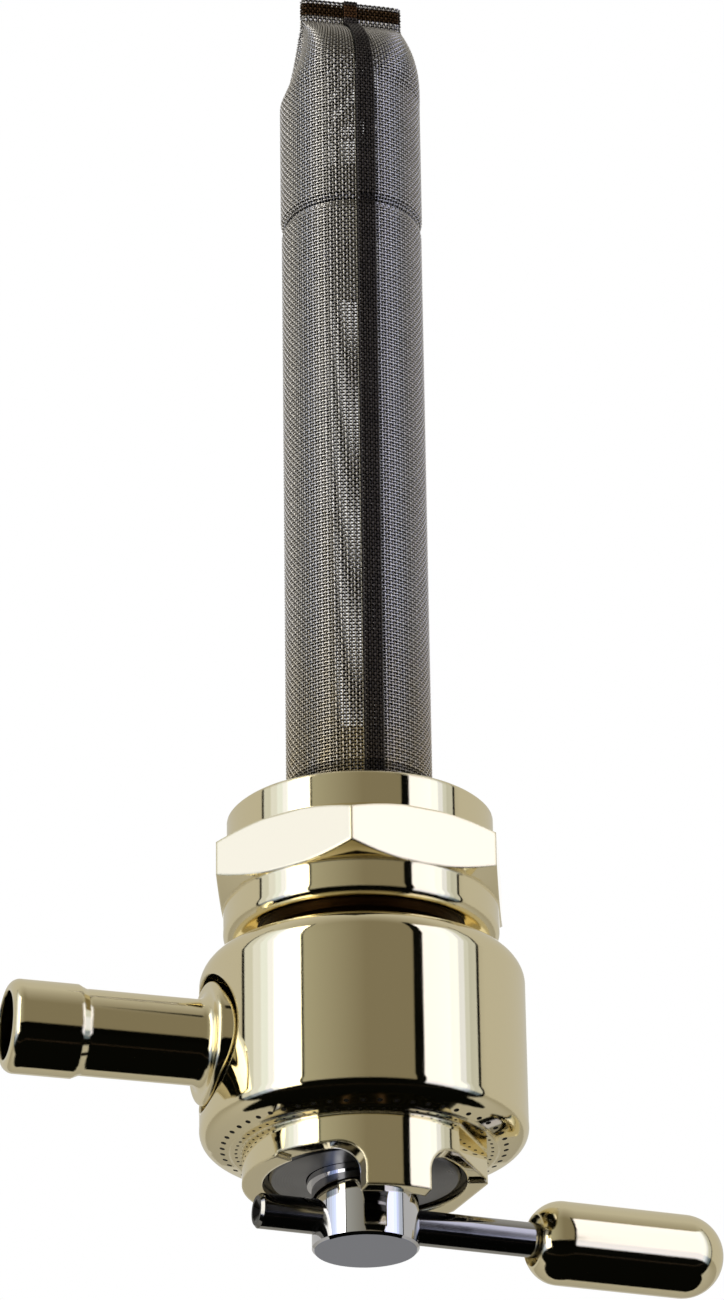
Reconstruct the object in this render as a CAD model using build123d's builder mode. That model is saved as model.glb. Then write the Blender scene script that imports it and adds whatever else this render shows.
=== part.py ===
"""Motorcycle fuel tap: a rotary spool valve with a union nut, a filter screen and a hose nipple.

Millimetres. The origin is the centre of the union nut's mouth, where the tank's spigot enters.
+Z runs up the screen, the hose nipple points along -X and the stop lug hangs on the -Y side.
The lever points near +X at rest, which is the closed position.
"""

from build123d import *
import math
import os

# Fits and running clearances
thread_clearance = 0.08
press_clearance = 0.03
slip_clearance = 0.05
running_clearance = 0.03
edge_break = 0.25

# Union nut
tank_thread_diameter = 22.0
nut_wall = 3.95
nut_upper_step = 1.0
nut_upper_height = 4.1
nut_hex_height = 6.3
nut_lower_step = 0.2
nut_lower_height = 4.0
nut_lower_round = 1.3
nut_hex_chamfer = 1.1
nut_hex_chamfer_slope = 49.0
nut_mouth_chamfer = 0.5
nut_turn = 10.6

# Neck, tank gasket and the screen's ferrule
neck_drop = 8.0
neck_gap = 2.0
neck_chamfer = 0.4
gasket_thickness = 1.6
gasket_rim = 0.4
ferrule_flange_lip = 1.6
ferrule_flange_thickness = 1.2
ferrule_spigot_depth = 5.0
ferrule_reach = 8.0
ferrule_wall = 0.55

# Filter screen
screen_margin = 3.0
screen_wall = 0.35
screen_ridge = 0.14
screen_ridge_width = 1.0
screen_gap_rows = 10
screen_gap_columns = 12
screen_gap_width = 2.0
screen_gap_height = 3.6
screen_weave_start = 10.5
screen_crease_height = 73.3
screen_crease_depth = 0.5
screen_crease_width = 1.6
screen_top_growth = 0.1
screen_upper_length = 16.1
screen_pinch_length = 10.8
screen_crimp_length = 3.4
screen_crimp_left = 5.85
screen_crimp_right = 6.25
screen_crimp_thickness = 1.6
screen_pinch_power = 2.3
screen_left_lead = 0.6
screen_tuck_share = 0.55
screen_tuck_spread = 0.45
outline_points = 20
screen_seam_width = 1.9
screen_seam_proud = 0.2
screen_seam_angle = -94.0
crease_ring_height = 9.4
crease_ring_wall = 0.9

# Standpipe and ports
port_diameter = 3.2
port_inset = 4.4
port_swing = 56.0
rotor_port_angle = 90.0
standpipe_wall = 0.4
standpipe_height = 38.0
standpipe_seat_depth = 1.8
port_seal_section = 1.1
port_seal_recess = 0.9
port_seal_squeeze_gap = 0.05

# Valve body
body_overhang = 0.19
body_shoulder_round = 3.0
body_side_corner = -36.8
body_side_round = 1.8
roof_thickness = 3.5
chamber_depth = 9.0
rotor_shoulder = 1.8
rotor_bore_bottom = -36.5
ring_inset = 4.5
ring_wall = 2.15
ring_top = -37.85
ring_rim = -41.4
ledge_width = 1.25
ledge_step = 0.15
window_depth = 0.35
window_left_angle = 61.0
window_right_angle = 73.0
lug_width = 7.0
lug_bottom = -45.9
lug_root_round = 2.8
ring_flat_depth = 0.85
ring_flat_angles = (-36.0, 6.0)

# Spool, hub and what holds the spool in
drum_lip = 1.0
spool_seal_section = 1.55
spool_seal_groove_width = 1.8
outlet_groove_height = 4.4
outlet_groove_depth = 1.75
cross_drill_diameter = 3.8
shank_diameter = 12.2
collar_drop = 0.65
hub_diameter = 11.3
hub_bottom = -48.75
hub_chamfer = 0.3
thrust_washer_thickness = 1.0
spring_thickness = 0.5
spring_rise = 0.9
plate_flange_thickness = 0.8
plate_boss_inset = 0.7
plate_boss_height = 1.2
plate_hole_clearance = 0.1
circlip_thickness = 0.7
circlip_inner_gap = 0.1
circlip_groove_depth = 0.6
circlip_opening = 14.0

# Hose nipple
nipple_axis_height = -27.15
nipple_tube_diameter = 9.2
nipple_bore_diameter = 7.4
nipple_barb_diameter = 10.0
nipple_barb_length = 7.3
nipple_barb_ramp = 0.9
nipple_end_round = 1.2
nipple_length = 24.1
nipple_flange_diameter = 13.3
nipple_flange_thickness = 2.8
nipple_flange_round = 0.6
nipple_root_round = 1.0
nipple_shank_diameter = 10.0
nipple_shank_length = 3.2
nipple_seal_thickness = 1.0
spotface_depth = 2.65
spotface_clearance = 0.75
outlet_passage_diameter = 6.0

# Lever
rod_diameter = 3.75
rod_height = -45.55
lever_angle = 4.0
rod_stub_reach = 12.1
rod_chamfer = 0.3
rod_dish_diameter = 2.4
rod_dish_depth = 0.7
knob_diameter = 9.0
knob_start = 18.4
knob_end = 40.5
knob_near_round = 3.6
knob_countersink_diameter = 5.6
knob_countersink_depth = 0.9
knob_socket_depth = 13.0

# Worked out from the sizes above
nut_bottom = -(nut_upper_height + nut_hex_height + nut_lower_height)
nut_bore_radius = tank_thread_diameter / 2
neck_radius = nut_bore_radius - thread_clearance
neck_top = -neck_drop
body_top = nut_bottom - neck_gap
nut_flat_radius = nut_bore_radius + nut_wall
nut_corner_radius = 2 * nut_flat_radius / math.sqrt(3)
body_radius = nut_corner_radius + body_overhang
roof_top = neck_top - chamber_depth
roof_bottom = roof_top - roof_thickness
ring_radius = body_radius - ring_inset
ring_bore_radius = ring_radius - ring_wall
rotor_bore_radius = ring_bore_radius - rotor_shoulder
port_circle_radius = rotor_bore_radius - port_inset
ring_flat_distance = ring_radius - ring_flat_depth
screen_radius = nut_bore_radius - screen_margin
screen_inner_radius = screen_radius - screen_wall
top_radius = screen_radius + screen_top_growth
ferrule_radius = screen_inner_radius - slip_clearance
ferrule_flange_radius = screen_radius + ferrule_flange_lip
drum_radius = rotor_bore_radius - slip_clearance
port_seal_drop = port_seal_section - port_seal_recess
drum_top = roof_bottom - port_seal_drop - running_clearance
drum_bottom = rotor_bore_bottom - running_clearance
shank_radius = shank_diameter / 2
thrust_top = drum_bottom - running_clearance
spring_top = thrust_top - thrust_washer_thickness
plate_top = spring_top - spring_thickness - spring_rise
plate_flange_bottom = plate_top - plate_flange_thickness
plate_bottom = plate_flange_bottom - plate_boss_height
collar_bottom = plate_bottom - collar_drop
rod_radius = rod_diameter / 2
spotface_reach = body_radius - spotface_depth
spotface_radius = nipple_flange_diameter / 2 + spotface_clearance
nipple_reach = spotface_reach + nipple_length
nipple_shank_end = spotface_reach - nipple_shank_length
nipple_hole_end = nipple_shank_end - nipple_seal_thickness
nipple_hole_radius = nipple_shank_diameter / 2 + press_clearance
standpipe_radius = port_diameter / 2 + standpipe_wall
main_port_angle = rotor_port_angle + port_swing
reserve_port_angle = rotor_port_angle - port_swing
washer_outer_radius = ring_bore_radius - 2 * plate_hole_clearance
plate_hole_radius = shank_radius + plate_hole_clearance
plate_boss_radius = ring_bore_radius - plate_boss_inset
circlip_inner_radius = plate_boss_radius + circlip_inner_gap
circlip_outer_radius = ring_bore_radius + circlip_groove_depth
screen_shoulder_height = screen_crease_height + screen_upper_length
screen_crimp_height = screen_shoulder_height + screen_pinch_length
crease_bottom = screen_crease_height - screen_crease_width / 2
crease_top = screen_crease_height + screen_crease_width / 2
spool_seal_radius = rotor_bore_radius - running_clearance - spool_seal_section / 2
seal_floor_radius = spool_seal_radius - spool_seal_section / 2 - press_clearance
upper_seal_height = drum_top - drum_lip - spool_seal_groove_width / 2
lower_seal_height = 2 * nipple_axis_height - upper_seal_height
port_seal_radius = (port_diameter + port_seal_section) / 2 + port_seal_squeeze_gap
rod_end = knob_start + knob_socket_depth

nipple_plane = Plane(origin=(0, 0, nipple_axis_height), x_dir=(-1, 0, 0), z_dir=(0, 1, 0))
nipple_axis = Axis((0, 0, nipple_axis_height), (-1, 0, 0))
seam_plane = Plane.XY.rotated((0, 0, screen_seam_angle + 90))


def polar_point(radius, angle, height):
    """A point at this radius and angle about the tap's axis."""
    return (
        radius * math.cos(math.radians(angle)),
        radius * math.sin(math.radians(angle)),
        height,
    )


rod_direction = polar_point(1, lever_angle, 0)
rod_plane = Plane(origin=(0, 0, rod_height), x_dir=rod_direction, z_dir=polar_point(1, lever_angle - 90, 0))
rod_axis = Axis((0, 0, rod_height), rod_direction)


def save(part, name):
    """Label one piece and write it."""
    part.label = name
    export_step(part, f"parts/{name}.step")


def ring_seal(section, mean_radius, centre):
    """A rubber ring whose axis is parallel to Z through centre, with an eight-sided section."""
    x, y, z = centre
    with BuildPart() as seal:
        with BuildSketch(Plane(origin=(x, y, z), x_dir=(1, 0, 0), z_dir=(0, -1, 0))):
            with Locations((mean_radius, 0)):
                RegularPolygon(section / 2, 8, major_radius=False, rotation=22.5)
        revolve(axis=Axis((x, y, z), (0, 0, 1)))
    return seal.part


os.makedirs("parts", exist_ok=True)

# The stop lug, cut from the ring's own wall with a rounded root on each side
with BuildPart() as stop_lug:
    lug_half = lug_width / 2
    lug_root = ring_rim + window_depth
    with BuildSketch(Plane.XZ):
        with BuildLine():
            Polyline(
                (-lug_half - lug_root_round, lug_root),
                (-lug_half - lug_root_round, ring_top),
                (lug_half + lug_root_round, ring_top),
                (lug_half + lug_root_round, lug_root),
            )
            RadiusArc(
                (lug_half + lug_root_round, lug_root),
                (lug_half, lug_root - lug_root_round),
                -lug_root_round,
            )
            Polyline(
                (lug_half, lug_root - lug_root_round),
                (lug_half, lug_bottom),
                (-lug_half, lug_bottom),
                (-lug_half, lug_root - lug_root_round),
            )
            RadiusArc(
                (-lug_half, lug_root - lug_root_round),
                (-lug_half - lug_root_round, lug_root),
                -lug_root_round,
            )
        make_face()
    extrude(amount=ring_radius + 1)
    with BuildSketch(Plane.XY.offset(ring_top)):
        Circle(ring_radius)
        Circle(ring_bore_radius, mode=Mode.SUBTRACT)
    extrude(amount=lug_bottom - ring_top, mode=Mode.INTERSECT)

# Valve body: neck, shouldered drum and coned underside in one turning
with BuildPart() as valve_body:
    with BuildSketch(Plane.XZ) as body_profile:
        with BuildLine():
            Polyline(
                (0, neck_top),
                (neck_radius - neck_chamfer, neck_top),
                (neck_radius, neck_top - neck_chamfer),
                (neck_radius, body_top),
                (body_radius - body_shoulder_round, body_top),
            )
            RadiusArc(
                (body_radius - body_shoulder_round, body_top),
                (body_radius, body_top - body_shoulder_round),
                body_shoulder_round,
            )
            Polyline(
                (body_radius, body_top - body_shoulder_round),
                (body_radius, body_side_corner),
                (ring_radius + ledge_width, ring_top + ledge_step),
                (ring_radius + ledge_width, ring_top),
                (ring_radius, ring_top),
                (ring_radius, ring_rim),
                (0, ring_rim),
                (0, neck_top),
            )
        make_face()
        side_corner = body_profile.vertices().filter_by(lambda point: abs(point.Y - body_side_corner) < 0.01)
        fillet(side_corner, body_side_round)
    revolve(axis=Axis.Z)
    # two milled windows in the ring's rim, either side of the lug
    with BuildSketch(Plane.XY.offset(ring_rim)):
        reach = 2 * ring_radius
        with BuildLine():
            Polyline(
                (0, 0),
                polar_point(reach, -90 - window_left_angle, 0)[:2],
                (-reach, -reach),
                (reach, -reach),
                polar_point(reach, -90 + window_right_angle, 0)[:2],
                (0, 0),
            )
        make_face()
    extrude(amount=window_depth, mode=Mode.SUBTRACT)
    # two small flats on the lever's side of the ring
    for flat_angle in ring_flat_angles:
        with BuildSketch(Plane.XY.offset(ring_rim)):
            with Locations(Rotation(0, 0, flat_angle)):
                with Locations((ring_flat_distance + lug_width / 2, 0)):
                    Rectangle(lug_width, 2 * lug_width)
        extrude(amount=ring_top - ring_rim, mode=Mode.SUBTRACT)
    add(stop_lug.part)
    # bores, from the neck down
    with BuildSketch(Plane.XY.offset(neck_top)):
        Circle(ferrule_flange_radius + slip_clearance)
    extrude(amount=-ferrule_flange_thickness, mode=Mode.SUBTRACT)
    with BuildSketch(Plane.XY.offset(neck_top)):
        Circle(ferrule_radius + slip_clearance)
    extrude(amount=roof_top - neck_top, mode=Mode.SUBTRACT)
    with BuildSketch(Plane.XY.offset(roof_bottom)):
        Circle(rotor_bore_radius)
    extrude(amount=rotor_bore_bottom - roof_bottom, mode=Mode.SUBTRACT)
    with BuildSketch(Plane.XY.offset(rotor_bore_bottom)):
        Circle(ring_bore_radius)
    extrude(amount=ring_rim - rotor_bore_bottom, mode=Mode.SUBTRACT)
    # snap ring groove
    with BuildSketch(Plane.XY.offset(plate_flange_bottom)):
        Circle(circlip_outer_radius + slip_clearance)
    extrude(amount=-circlip_thickness - slip_clearance, mode=Mode.SUBTRACT)
    # main and reserve ports, each with a seal recess on the rotor's side
    for port_angle in (main_port_angle, reserve_port_angle):
        with BuildSketch(Plane.XY.offset(roof_bottom)):
            with Locations(polar_point(port_circle_radius, port_angle, 0)[:2]):
                Circle(port_diameter / 2)
        extrude(amount=roof_thickness, mode=Mode.SUBTRACT)
        with BuildSketch(Plane.XY.offset(roof_bottom)):
            with Locations(polar_point(port_circle_radius, port_angle, 0)[:2]):
                Circle(port_diameter / 2 + port_seal_section + 2 * port_seal_squeeze_gap)
        extrude(amount=port_seal_recess, mode=Mode.SUBTRACT)
    with BuildSketch(Plane.XY.offset(roof_top)):
        with Locations(polar_point(port_circle_radius, main_port_angle, 0)[:2]):
            Circle(standpipe_radius + press_clearance)
    extrude(amount=-standpipe_seat_depth, mode=Mode.SUBTRACT)
    # spotface, nipple hole and outlet passage
    with BuildSketch(nipple_plane):
        Polygon(
            (spotface_reach, 0),
            (body_radius + 1, 0),
            (body_radius + 1, spotface_radius),
            (spotface_reach, spotface_radius),
            align=None,
        )
    revolve(axis=nipple_axis, mode=Mode.SUBTRACT)
    with BuildSketch(nipple_plane):
        Polygon(
            (nipple_hole_end, 0),
            (spotface_reach, 0),
            (spotface_reach, nipple_hole_radius),
            (nipple_hole_end, nipple_hole_radius),
            align=None,
        )
    revolve(axis=nipple_axis, mode=Mode.SUBTRACT)
    with BuildSketch(nipple_plane):
        Polygon(
            (port_circle_radius, 0),
            (nipple_hole_end, 0),
            (nipple_hole_end, outlet_passage_diameter / 2),
            (port_circle_radius, outlet_passage_diameter / 2),
            align=None,
        )
    revolve(axis=nipple_axis, mode=Mode.SUBTRACT)
save(valve_body.part, "valve_body")

# Union nut: two round collars and a chamfered hexagon on one bore
with BuildPart() as union_nut:
    hex_top = -nut_upper_height
    hex_bottom = hex_top - nut_hex_height
    chamfer_drop = nut_hex_chamfer * math.tan(math.radians(nut_hex_chamfer_slope))
    with BuildSketch(Plane.XY.offset(hex_bottom)):
        RegularPolygon(nut_corner_radius, 6, rotation=nut_turn)
    extrude(amount=nut_hex_height)
    with BuildSketch(Plane.XZ):
        Polygon(
            (0, hex_top),
            (nut_corner_radius - 2 * nut_hex_chamfer, hex_top),
            (nut_corner_radius, hex_top - chamfer_drop),
            (nut_corner_radius, hex_bottom + chamfer_drop),
            (nut_corner_radius - 2 * nut_hex_chamfer, hex_bottom),
            (0, hex_bottom),
            align=None,
        )
    revolve(axis=Axis.Z, mode=Mode.INTERSECT)
    with BuildSketch(Plane.XY):
        Circle(nut_flat_radius - nut_upper_step / 2)
    extrude(amount=-nut_upper_height)
    with BuildSketch(Plane.XY.offset(hex_bottom)):
        Circle(nut_flat_radius - nut_lower_step / 2)
    extrude(amount=-nut_lower_height)
    bottom_edge = union_nut.edges().group_by(Axis.Z)[0]
    fillet(bottom_edge, nut_lower_round)
    top_edge = union_nut.edges().group_by(Axis.Z)[-1]
    chamfer(top_edge, edge_break)
    with BuildSketch(Plane.XY):
        Circle(nut_bore_radius)
    extrude(amount=nut_bottom, mode=Mode.SUBTRACT)
    mouth_edges = (
        union_nut.edges()
        .filter_by(GeomType.CIRCLE)
        .filter_by(lambda edge: abs(edge.radius - nut_bore_radius) < 0.01)
    )
    chamfer(mouth_edges, nut_mouth_chamfer)
save(union_nut.part, "union_nut")

# Flat gasket on the neck, which also holds the ferrule's flange down
with BuildPart() as tank_gasket:
    with BuildSketch(Plane.XY.offset(neck_top)):
        Circle(neck_radius - gasket_rim)
        Circle(screen_radius + gasket_rim, mode=Mode.SUBTRACT)
    extrude(amount=gasket_thickness)
save(tank_gasket.part, "tank_gasket")

# Ferrule: flanged brass sleeve under the mesh
with BuildPart() as screen_ferrule:
    flange_base = neck_top - ferrule_flange_thickness
    with BuildSketch(Plane.XZ):
        Polygon(
            (ferrule_radius - ferrule_wall, flange_base - ferrule_spigot_depth),
            (ferrule_radius, flange_base - ferrule_spigot_depth),
            (ferrule_radius, flange_base),
            (ferrule_flange_radius, flange_base),
            (ferrule_flange_radius, neck_top),
            (ferrule_radius, neck_top),
            (ferrule_radius, ferrule_reach),
            (ferrule_radius - ferrule_wall, ferrule_reach),
            align=None,
        )
    revolve(axis=Axis.Z)
save(screen_ferrule.part, "screen_ferrule")


def screen_outline(height, inset):
    """The screen's closed outline above its round shoulder: flattened, with tucked sides."""
    share = (height - screen_shoulder_height) / screen_pinch_length
    half_depth = top_radius + (screen_crimp_thickness / 2 - top_radius) * share**screen_pinch_power - inset
    squareness = 2 + 3 * share
    points = []
    for step in range(outline_points):
        along = math.cos(2 * math.pi * step / outline_points)
        across = math.sin(2 * math.pi * step / outline_points)
        narrow = screen_crimp_right if along > 0 else screen_crimp_left
        lead = share if along > 0 else share**screen_left_lead
        ease = lead * lead * (3 - 2 * lead)
        half_width = top_radius + (narrow - top_radius) * ease - inset
        tuck = screen_tuck_share * half_width * share * share
        stretch = (abs(across) ** squareness + abs(along) ** squareness) ** (-1 / squareness)
        fold = tuck * max(0.0, 1 - abs(across) / screen_tuck_spread)
        x = half_width * along * stretch - math.copysign(fold, along)
        points.append((x, half_depth * across * stretch))
    return points


def screen_shoulder(inset, shares):
    """A closed solid from the round shoulder up through the pinched outlines."""
    with BuildPart() as shoulder:
        with BuildSketch(seam_plane.offset(screen_shoulder_height)):
            RegularPolygon(top_radius - inset, outline_points)
        for share in shares:
            height = screen_shoulder_height + screen_pinch_length * share
            with BuildSketch(seam_plane.offset(height)):
                Polygon(*screen_outline(height, inset), align=None)
        loft(ruled=True)
    return shoulder.part


# Filter screen: one wall of mesh, with ridges for its weave, a crease and a pinched top
with BuildPart() as filter_screen:
    weave_end = crease_bottom - screen_ridge_width
    bay = (weave_end - screen_weave_start) / screen_gap_rows
    ground = screen_radius - screen_ridge
    ridge_foot = screen_ridge_width / 2
    with BuildSketch(Plane.XZ):
        with BuildLine():
            outside = [(screen_radius, neck_top), (screen_radius, screen_weave_start)]
            outside.append((ground, screen_weave_start + ridge_foot))
            for ridge in range(1, screen_gap_rows):
                middle = screen_weave_start + ridge * bay
                outside.append((ground, middle - ridge_foot))
                outside.append((screen_radius, middle))
                outside.append((ground, middle + ridge_foot))
            outside.append((ground, weave_end - ridge_foot))
            outside.append((screen_radius, weave_end))
            Polyline(
                *outside,
                (screen_radius, crease_bottom),
                (screen_radius - screen_crease_depth, screen_crease_height),
                (top_radius, crease_top),
                (top_radius, screen_shoulder_height),
                (top_radius - screen_wall, screen_shoulder_height),
                (top_radius - screen_wall, crease_top),
                (screen_inner_radius - screen_crease_depth, screen_crease_height),
                (screen_inner_radius, crease_bottom),
                (screen_inner_radius, neck_top),
                close=True,
            )
        make_face()
    revolve(axis=Axis.Z)
    # lapped seam
    with BuildSketch(seam_plane.offset(screen_weave_start)):
        with Locations((0, -(screen_radius - screen_wall / 2 + screen_seam_proud / 2))):
            Rectangle(screen_seam_width, screen_wall + screen_seam_proud)
    extrude(amount=weave_end - screen_weave_start)
    # one row of gaps between each pair of ridges, clear of the seam
    for row in range(screen_gap_rows):
        gap_middle = screen_weave_start + (row + 0.5) * bay
        with BuildSketch(seam_plane.offset(gap_middle - screen_gap_height / 2)):
            with PolarLocations(screen_radius, screen_gap_columns, start_angle=180 / screen_gap_columns):
                Rectangle(4 * screen_wall, screen_gap_width)
        extrude(amount=screen_gap_height, mode=Mode.SUBTRACT)
    # pinched top
    add(screen_shoulder(0, (0.25, 0.5, 0.75, 1)))
    add(screen_shoulder(screen_wall, (0.25, 0.5, 0.75, 0.9)), mode=Mode.SUBTRACT)
    with BuildSketch(seam_plane.offset(screen_crimp_height)):
        Polygon(*screen_outline(screen_crimp_height, 0), align=None)
    extrude(amount=screen_crimp_length)
save(filter_screen.part, "filter_screen")

# Ring inside the screen that the crease is rolled into
with BuildPart() as screen_ring:
    ring_low = screen_crease_height - crease_ring_height / 2
    ring_high = screen_crease_height + crease_ring_height / 2
    with BuildSketch(Plane.XZ):
        Polygon(
            (ferrule_radius - crease_ring_wall, ring_low),
            (ferrule_radius, ring_low),
            (ferrule_radius, crease_bottom),
            (ferrule_radius - screen_crease_depth, screen_crease_height),
            (ferrule_radius, crease_top),
            (ferrule_radius, ring_high),
            (ferrule_radius - crease_ring_wall, ring_high),
            align=None,
        )
    revolve(axis=Axis.Z)
save(screen_ring.part, "screen_ring")

# Standpipe over the main port
with BuildPart() as standpipe:
    pipe_foot = roof_top - standpipe_seat_depth
    with BuildSketch(Plane.XY.offset(pipe_foot)):
        with Locations(polar_point(port_circle_radius, main_port_angle, 0)[:2]):
            Circle(standpipe_radius)
            Circle(port_diameter / 2, mode=Mode.SUBTRACT)
    extrude(amount=standpipe_height - pipe_foot)
save(standpipe.part, "standpipe")

# Port seals, one in each recess of the roof
port_seal_height = roof_bottom + port_seal_recess - port_seal_section / 2
for name, angle in (("main", main_port_angle), ("reserve", reserve_port_angle)):
    centre = polar_point(port_circle_radius, angle, port_seal_height)
    save(ring_seal(port_seal_section, port_seal_radius, centre), f"{name}_port_seal")

# Spool: grooved drum, shank and hub, drilled for the fuel and for the rod
with BuildPart() as spool:
    groove_half = spool_seal_groove_width / 2
    outlet_floor = drum_radius - outlet_groove_depth
    outlet_top = nipple_axis_height + outlet_groove_height / 2
    outlet_bottom = nipple_axis_height - outlet_groove_height / 2
    with BuildSketch(Plane.XZ):
        Polygon(
            (0, drum_top),
            (drum_radius - edge_break, drum_top),
            (drum_radius, drum_top - edge_break),
            (drum_radius, upper_seal_height + groove_half),
            (seal_floor_radius, upper_seal_height + groove_half),
            (seal_floor_radius, upper_seal_height - groove_half),
            (drum_radius, upper_seal_height - groove_half),
            (drum_radius, outlet_top),
            (outlet_floor, outlet_top),
            (outlet_floor, outlet_bottom),
            (drum_radius, outlet_bottom),
            (drum_radius, lower_seal_height + groove_half),
            (seal_floor_radius, lower_seal_height + groove_half),
            (seal_floor_radius, lower_seal_height - groove_half),
            (drum_radius, lower_seal_height - groove_half),
            (drum_radius, drum_bottom),
            (shank_radius, drum_bottom),
            (shank_radius, collar_bottom),
            (hub_diameter / 2, collar_bottom),
            (hub_diameter / 2, hub_bottom),
            (0, hub_bottom),
            align=None,
        )
    revolve(axis=Axis.Z)
    chamfer(spool.edges().group_by(Axis.Z)[0], hub_chamfer)
    with BuildSketch(Plane.XY.offset(drum_top)):
        with Locations(polar_point(port_circle_radius, rotor_port_angle, 0)[:2]):
            Circle(port_diameter / 2)
    extrude(amount=nipple_axis_height - drum_top, mode=Mode.SUBTRACT)
    cross_reach = port_circle_radius - cross_drill_diameter / 2
    cross_start = polar_point(cross_reach, rotor_port_angle, nipple_axis_height)
    with BuildSketch(Plane(origin=cross_start, z_dir=polar_point(1, rotor_port_angle, 0))):
        Circle(cross_drill_diameter / 2)
    extrude(amount=rotor_bore_radius, mode=Mode.SUBTRACT)
    with BuildSketch(Plane(origin=(0, 0, rod_height), z_dir=rod_direction)):
        Circle(rod_radius + press_clearance)
    extrude(amount=hub_diameter, both=True, mode=Mode.SUBTRACT)
save(spool.part, "spool")

# Spool seals
for name, height in (("upper", upper_seal_height), ("lower", lower_seal_height)):
    seal = ring_seal(spool_seal_section, spool_seal_radius, (0, 0, height))
    save(seal, f"spool_seal_{name}")

# Low-friction washer under the drum
with BuildPart() as thrust_washer:
    with BuildSketch(Plane.XY.offset(thrust_top)):
        Circle(washer_outer_radius)
        Circle(plate_hole_radius, mode=Mode.SUBTRACT)
    extrude(amount=-thrust_washer_thickness)
save(thrust_washer.part, "thrust_washer")

# Dished spring: its inner edge pushes the washer up, its outer edge rests on the plate
with BuildPart() as disc_spring:
    spring_inner = plate_hole_radius + edge_break
    spring_outer = washer_outer_radius - edge_break
    with BuildSketch(Plane.XZ):
        Polygon(
            (spring_inner, spring_top),
            (spring_outer, spring_top - spring_rise),
            (spring_outer, spring_top - spring_rise - spring_thickness),
            (spring_inner, spring_top - spring_thickness),
            align=None,
        )
    revolve(axis=Axis.Z)
save(disc_spring.part, "disc_spring")

# Retaining plate: its flange sits behind the snap ring, its boss fills the ring's bore
with BuildPart() as retaining_plate:
    with BuildSketch(Plane.XY.offset(plate_top)):
        Circle(ring_bore_radius - plate_hole_clearance)
    extrude(amount=-plate_flange_thickness)
    with BuildSketch(Plane.XY.offset(plate_flange_bottom)):
        Circle(plate_boss_radius)
    extrude(amount=-plate_boss_height)
    with BuildSketch(Plane.XY.offset(plate_top)):
        Circle(plate_hole_radius)
    extrude(amount=plate_bottom - plate_top, mode=Mode.SUBTRACT)
    rim = retaining_plate.edges().group_by(Axis.Z)[0].sort_by(SortBy.RADIUS)[-1]
    chamfer(rim, edge_break)
save(retaining_plate.part, "retaining_plate")

# Snap ring, open at the back
with BuildPart() as circlip:
    with BuildSketch(Plane.XY.offset(plate_flange_bottom)):
        Circle(circlip_outer_radius)
        Circle(circlip_inner_radius, mode=Mode.SUBTRACT)
        with Locations((0, circlip_outer_radius)):
            Rectangle(
                2 * circlip_outer_radius * math.sin(math.radians(circlip_opening / 2)),
                circlip_outer_radius,
                mode=Mode.SUBTRACT,
            )
    extrude(amount=-circlip_thickness)
save(circlip.part, "circlip")

# Hose nipple: shank in the body, flange on the spotface, tube and end bead
with BuildPart() as hose_nipple:
    flange_end = spotface_reach + nipple_flange_thickness
    bead_start = nipple_reach - nipple_barb_length
    with BuildSketch(nipple_plane):
        Polygon(
            (nipple_shank_end, nipple_bore_diameter / 2),
            (nipple_reach, nipple_bore_diameter / 2),
            (nipple_reach, nipple_barb_diameter / 2),
            (bead_start, nipple_barb_diameter / 2),
            (bead_start - nipple_barb_ramp, nipple_tube_diameter / 2),
            (flange_end, nipple_tube_diameter / 2),
            (flange_end, nipple_flange_diameter / 2),
            (spotface_reach, nipple_flange_diameter / 2),
            (spotface_reach, nipple_shank_diameter / 2),
            (nipple_shank_end, nipple_shank_diameter / 2),
            align=None,
        )
    revolve(axis=nipple_axis)
    circles = hose_nipple.edges().filter_by(GeomType.CIRCLE)
    flange_edges = circles.filter_by(lambda edge: abs(edge.radius - nipple_flange_diameter / 2) < 0.01)
    end_edges = circles.group_by(Axis.X)[0]
    root_edge = circles.filter_by(
        lambda edge: abs(edge.radius - nipple_tube_diameter / 2) < 0.01
        and abs(edge.center().X + flange_end) < 0.01
    )
    fillet(flange_edges.sort_by(Axis.X)[0], nipple_flange_round)
    chamfer(flange_edges.sort_by(Axis.X)[-1], edge_break)
    fillet(root_edge, nipple_root_round)
    fillet(end_edges.sort_by(SortBy.RADIUS)[-1], nipple_end_round)
save(hose_nipple.part, "hose_nipple")

# Seal at the bottom of the nipple's hole
with BuildPart() as nipple_seal:
    with BuildSketch(nipple_plane):
        Polygon(
            (nipple_hole_end, outlet_passage_diameter / 2),
            (nipple_shank_end, outlet_passage_diameter / 2),
            (nipple_shank_end, nipple_shank_diameter / 2),
            (nipple_hole_end, nipple_shank_diameter / 2),
            align=None,
        )
    revolve(axis=nipple_axis)
save(nipple_seal.part, "nipple_seal")

# Cross rod with a dished stub end
with BuildPart() as lever_rod:
    with BuildSketch(rod_plane):
        Polygon(
            (rod_dish_depth - rod_stub_reach, 0),
            (-rod_stub_reach, rod_dish_diameter / 2),
            (-rod_stub_reach, rod_radius - rod_chamfer),
            (rod_chamfer - rod_stub_reach, rod_radius),
            (rod_end, rod_radius),
            (rod_end, 0),
            align=None,
        )
    revolve(axis=rod_axis)
save(lever_rod.part, "lever_rod")

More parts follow.
